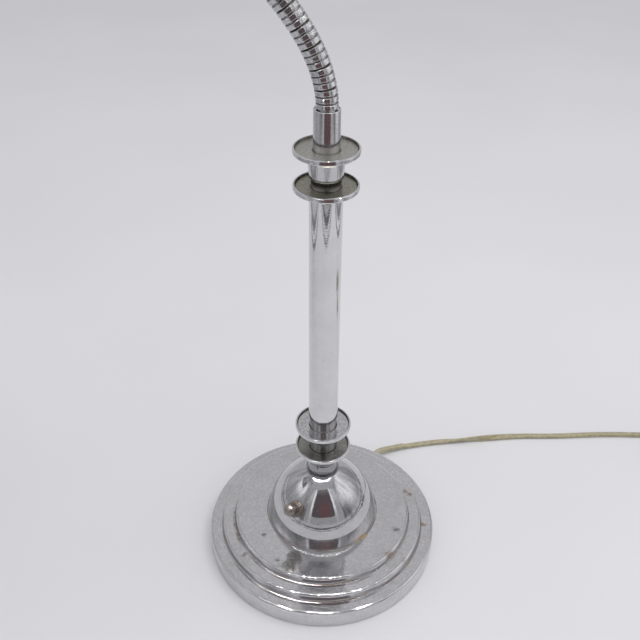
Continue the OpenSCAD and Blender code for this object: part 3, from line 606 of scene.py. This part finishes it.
def make_floor():
    """White paper, slightly uneven, with painted shade that darkens it far out."""
    s = Shader("paper")
    far = s.vector("LENGTH", s.at, (0, 0, 0), "Value")
    uneven = s.ramp(s.noise(scale=3), 0.3, 0.7, 0.985, 1.015)
    # Painted shade: the paper's colour darkens away from the middle
    shade = s.math("MULTIPLY", s.ramp(far, 0.3, 1.6, 1.0, 0.955), uneven)
    material = s.finish(Base_Color=s.scaled(FLOOR, shade), Roughness=0.9, Specular_IOR_Level=0.1)
    r = FLOOR_HALF
    panel("floor", [(-r, -r, 0), (r, -r, 0), (r, r, 0), (-r, r, 0)], material)


def folds(s, colour):
    """Upright folds in the cloth."""
    pleat = s.noise(scale=9, detail=3, rough=0.6, at=s.vector("MULTIPLY", s.at, (1, 1, 0.18)))
    return s.scaled(colour, s.ramp(pleat, 0.3, 0.7, 0.62, 1.3))


def with_hem(s, z, colour, fold_tone):
    """The cloth's lowest stretch: lit from the floor, with a seam, a bright line and a fold over it."""
    colour = s.mix(s.ramp(z, *LIT_FADE, 1.0, 0.0), colour, grey(0.55))
    colour = s.mix(s.band(z, *SEAM, 0.001), colour, grey(0.03))
    colour = s.mix(s.band(z, *BRIGHT_LINE, 0.002), colour, grey(0.95))
    return s.mix(s.band(z, *FOLD, 0.004), colour, grey(fold_tone))


def paint_front(s):
    """Cloth, paler towards the top, with the two bright hems and a dark corner at each end."""
    x, z = s.along(X), s.along(Z)
    cloth = s.mix(s.ramp(z, 0.35, 0.65), grey(0.40), grey(0.66))
    hems = s.most([s.band(x, *hem, 0.012) for hem in HEMS_X])
    cloth = s.mix(s.math("MULTIPLY", hems, s.ramp(z, 0.15, 0.4, 0.2, 1.0)), cloth, grey(1.15))
    corners = s.math("MAXIMUM", s.ramp(x, LEFT + 0.015, LEFT + 0.025, 1.0, 0.0),
                     s.ramp(x, RIGHT - 0.025, RIGHT - 0.015))
    cloth = s.mix(s.math("MULTIPLY", corners, s.band(z, 0.09, 0.42, 0.03)), cloth, grey(0.07))
    return with_hem(s, z, cloth, fold_tone=0.05)


def paint_board(s):
    """Dark, paler towards the top, with a dim red middle."""
    dark = s.mix(s.ramp(s.along(Z), 0.40, 0.58), (0.062, 0.034, 0.038), grey(0.20))
    dark = s.mix(s.ramp(s.noise(scale=60, detail=4, rough=0.7), 0.5, 0.7, 0.0, 0.5), dark, grey(0.01))
    away = s.distance(RED_AT, at=s.vector("MULTIPLY", s.at, RED_SCALE))
    return s.mix(s.ramp(away, *RED_FADE, 1.0, 0.0), dark, (0.125, 0.02, 0.026))


def paint_side(lit_at, radius):
    """Folded cloth, shaded towards the front, with a brightly lit patch."""
    def paint(s):
        y, z = s.along(Y), s.along(Z)
        cloth = s.mix(s.ramp(z, 0.02, 0.25), grey(0.36), grey(0.44))
        shaded = s.math("MULTIPLY", s.ramp(y, FRONT + 0.1, FRONT + 0.45, 1.0, 0.0),
                        s.band(z, 0.09, 0.30, 0.05))
        cloth = s.mix(shaded, cloth, grey(0.18))
        patch = s.ramp(s.distance(lit_at), radius * 0.4, radius, 1.0, 0.0)
        return folds(s, s.mix(patch, with_hem(s, z, cloth, fold_tone=0.20), grey(1.1)))
    return paint


def paint_back(s):
    return s.mix(s.ramp(s.along(Z), 0.1, 0.7), grey(0.58), grey(0.64))


def paint_top(s):
    """Grey cloth with the strip that the row of lamps lights."""
    x, y = s.along(X), s.along(Y)
    bow = s.math("SUBTRACT", y, s.math("MULTIPLY", s.math("MULTIPLY", x, x), ROW_BOW))
    strip = s.band(bow, ROW_Y - STRIP_HALF, ROW_Y + STRIP_HALF, STRIP_SOFT)
    return s.mix(strip, grey(0.47), grey(STRIP_LIGHT))


def wall_corners(x0, y0, x1, y1):
    """An upright wall between two places on the floor, as high as the tent."""
    return [(x0, y0, 0), (x1, y1, 0), (x1, y1, TOP), (x0, y0, TOP)]


def roof_corners():
    return [(LEFT, FRONT, TOP), (RIGHT, FRONT, TOP), (RIGHT, BACK, TOP), (LEFT, BACK, TOP)]


def board_corners():
    """An upright board with its two lower corners rounded."""
    points = [(BOARD_X[1], BOARD_Y, BOARD_Z[1]), (BOARD_X[0], BOARD_Y, BOARD_Z[1])]
    for x, first in ((BOARD_X[0] + BOARD_CORNER, 180), (BOARD_X[1] - BOARD_CORNER, 270)):
        for k in range(CORNER_STEPS + 1):
            a = math.radians(first + 90 * k / CORNER_STEPS)
            points.append((x + BOARD_CORNER * math.cos(a), BOARD_Y,
                           BOARD_Z[0] + BOARD_CORNER * (1 + math.sin(a))))
    return points


def gloss_only(obj):
    """Shows the object in glossy reflections and nowhere else."""
    obj.visible_camera = obj.visible_diffuse = obj.visible_shadow = obj.visible_transmission = False
    obj.visible_volume_scatter = False


def make_tent():
    """The tent's five walls of cloth and the dark board, each glowing by itself."""
    sides = {
        "front": (wall_corners(LEFT, FRONT, RIGHT, FRONT), paint_front),
        "left": (wall_corners(LEFT, FRONT, LEFT, BACK), paint_side(*LEFT_PATCH)),
        "right": (wall_corners(RIGHT, FRONT, RIGHT, BACK), paint_side(*RIGHT_PATCH)),
        "back": (wall_corners(LEFT, BACK, RIGHT, BACK), paint_back),
        "top": (roof_corners(), paint_top),
        "board": (board_corners(), paint_board),
    }
    for side, (corners, paint) in sides.items():
        s = Shader("tent_" + side)
        cloth = panel("tent_" + side, corners, s.glow(paint(s)))
        cloth.rotation_euler.z = TENT_TURN
        gloss_only(cloth)


def make_lamp_row():
    """Small lamps that sparkle along the rounded edges."""
    turn = Matrix.Rotation(TENT_TURN, 4, "Z")
    each_way = int(ROW_HALF / LAMP_STEP)
    for k in range(-each_way, each_way + 1):
        data = bpy.data.lights.new("small_lamp", "POINT")
        data.energy, data.shadow_soft_size = LAMP_POWER, LAMP_R
        lamp = add("small_lamp", data)
        x = k * LAMP_STEP
        lamp.location = turn @ Vector((x, ROW_Y + ROW_BOW * x * x, ROW_Z))
        lamp.visible_camera = lamp.visible_diffuse = lamp.visible_transmission = False


def make_world():
    """Plain light for the surfaces and the pale backdrop for the camera."""
    world = bpy.data.worlds.new("studio")
    bpy.context.scene.world = world
    t = Tree(world)
    path = t.nodes.new("ShaderNodeLightPath").outputs
    straight = t.math("MAXIMUM", path["Is Camera Ray"], path["Is Transmission Ray"])
    light = t.node("Background", {"Color": ROOM_LIGHT})
    seen = t.node("Background", {"Color": BACKDROP})
    t.end("World", t.node("MixShader", {0: straight, 1: light, 2: seen}))


def make_top_lamp():
    """One wide light that points at the lamp's foot and doesn't show in its gloss."""
    data = bpy.data.lights.new("top_lamp", "AREA")
    data.shape, data.size, data.energy = "DISK", TOP_LAMP_SIZE, TOP_LAMP_POWER
    lamp = add("top_lamp", data)
    lamp.location = TOP_LAMP_AT
    lamp.rotation_mode = "QUATERNION"
    lamp.rotation_quaternion = (-Vector(TOP_LAMP_AT)).to_track_quat("-Z", "Y")
    lamp.visible_glossy = False


make_floor()
make_tent()
make_lamp_row()
make_world()
make_top_lamp()
bpy.context.scene.view_settings.view_transform = "Standard"
